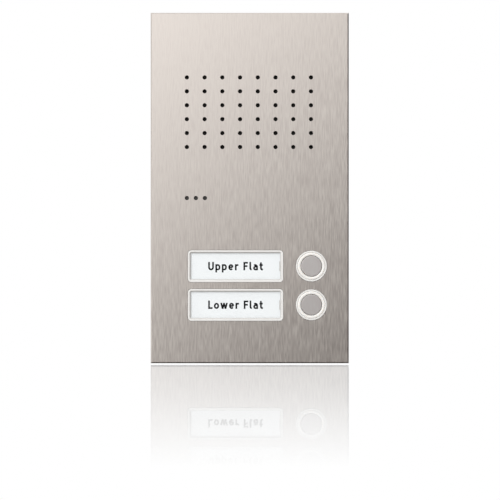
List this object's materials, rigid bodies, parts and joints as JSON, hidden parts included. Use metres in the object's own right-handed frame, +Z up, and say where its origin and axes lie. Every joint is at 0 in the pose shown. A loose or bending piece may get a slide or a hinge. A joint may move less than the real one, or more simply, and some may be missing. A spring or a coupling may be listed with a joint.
{
  "type": "door intercom panel",
  "caption": "Flush-mounted audio door station: brushed steel plate with speaker and microphone holes, lit name fields and ring-lit bell buttons, over a wall box.",
  "frame": {"origin": "centre of the four wall screw holes, on the outer back face of the wall box", "axes": "+Z up, the front plate faces -Y, +X is to a caller's right, +Y points into the wall"},
  "size_m": [0.13, 0.0528, 0.23],
  "materials": {
    "brushed_stainless": "vertical brushed grain, satin",
    "satin_steel": "fine satin",
    "bright_steel": "zinc plated",
    "spring_steel": "plain spring steel",
    "frame_grey": "light grey, satin",
    "light_guide": "milky, translucent",
    "diffuser_white": "milky acrylic",
    "clear_window": "clear polycarbonate",
    "card_white": "printed card",
    "carrier_grey": "fine moulded texture",
    "cover_grey": "fine moulded texture",
    "box_grey": "moulded, slightly rough",
    "black_rubber": "matte",
    "foam_black": "closed-cell foam",
    "screen_black": "black woven mesh",
    "plug_grey": "porous plug",
    "basket_black": "black coated",
    "cone_paper": "coated paper cone",
    "magnet_dark": "ferrite and plated iron",
    "board_green": "solder mask",
    "chip_black": "moulded epoxy",
    "can_blue": "sleeved can",
    "coil_copper": "enamelled wire",
    "terminal_green": "moulded",
    "ivory_plastic": "moulded",
    "led_yellow": "phosphor",
    "trimmer_blue": "moulded",
    "switch_black": "moulded",
    "insert_brass": "turned",
    "lead_red": "insulated wire"
  },
  "bodies": {
    "wall_box": {"wall_box": "box_grey", "box_inserts": "insert_brass", "cable_grommet": "black_rubber"},
    "front": {"front_plate": "brushed_stainless", "plate_studs": "bright_steel", "plate_nuts": "bright_steel", "plate_gasket": "foam_black", "front_carrier": "carrier_grey", "rear_cover": "cover_grey", "housing_screws": "bright_steel", "fixing_screws": "bright_steel", "top_clips": "spring_steel", "speaker_screen": "screen_black", "speaker_gasket": "foam_black", "speaker_basket": "basket_black", "speaker_cone": "cone_paper", "speaker_magnet": "magnet_dark", "speaker_clamps": "bright_steel", "speaker_leads": "lead_red", "microphone_plug": "plug_grey", "microphone_boot": "black_rubber", "microphone_capsule": "satin_steel", "main_board": "board_green", "controller_chip": "chip_black", "amplifier_chip": "chip_black", "capacitors": "can_blue", "bus_coil": "coil_copper", "terminal_block": "terminal_green", "terminal_screws": "bright_steel", "speaker_connector": "ivory_plastic", "backlight_leds": "led_yellow", "button_switches": "switch_black", "button_seals": "black_rubber", "name_seals": "black_rubber", "name_clips": "spring_steel", "trimmer_bodies": "trimmer_blue", "button_bezel_1": "frame_grey", "light_ring_1": "light_guide", "button_guide_1": "diffuser_white", "button_spring_1": "spring_steel", "name_diffuser_1": "diffuser_white", "button_bezel_2": "frame_grey", "light_ring_2": "light_guide", "button_guide_2": "diffuser_white", "button_spring_2": "spring_steel", "name_diffuser_2": "diffuser_white"},
    "button_1": {"button_cap_1": "satin_steel", "button_plunger_1": "ivory_plastic", "switch_stem_1": "ivory_plastic"},
    "button_2": {"button_cap_2": "satin_steel", "button_plunger_2": "ivory_plastic", "switch_stem_2": "ivory_plastic"},
    "cover_1": {"name_frame_1": "frame_grey", "name_lens_1": "clear_window", "name_card_1": "card_white"},
    "cover_2": {"name_frame_2": "frame_grey", "name_lens_2": "clear_window", "name_card_2": "card_white"},
    "volume_1": {"trimmer_rotor_1": "ivory_plastic"},
    "volume_2": {"trimmer_rotor_2": "ivory_plastic"}
  },
  "joints": [
    {"name": "front_pull", "type": "slide", "parent": "wall_box", "child": "front", "axis": [0, -1, 0], "range_m": [0, 0.06], "deforming": ["top_clips"]},
    {"name": "button_1_press", "type": "slide", "parent": "front", "child": "button_1", "axis": [0, 1, 0], "range_m": [0, 0.0012], "stiffness_N_per_m": 900, "springref_m": -0.001, "deforming": ["button_spring_1"]},
    {"name": "button_2_press", "type": "slide", "parent": "front", "child": "button_2", "axis": [0, 1, 0], "range_m": [0, 0.0012], "stiffness_N_per_m": 900, "springref_m": -0.001, "deforming": ["button_spring_2"]},
    {"name": "cover_1_pull", "type": "slide", "parent": "front", "child": "cover_1", "axis": [0, -1, 0], "range_m": [0, 0.014], "deforming": ["name_clips"]},
    {"name": "cover_2_pull", "type": "slide", "parent": "front", "child": "cover_2", "axis": [0, -1, 0], "range_m": [0, 0.014], "deforming": ["name_clips"]},
    {"name": "volume_1_turn", "type": "hinge", "parent": "front", "child": "volume_1", "pos_m": [0.024, -0.0265, -0.036], "axis": [0, 1, 0], "range_deg": [-135, 135]},
    {"name": "volume_2_turn", "type": "hinge", "parent": "front", "child": "volume_2", "pos_m": [0.034, -0.0265, -0.036], "axis": [0, 1, 0], "range_deg": [-135, 135]}
  ]
}
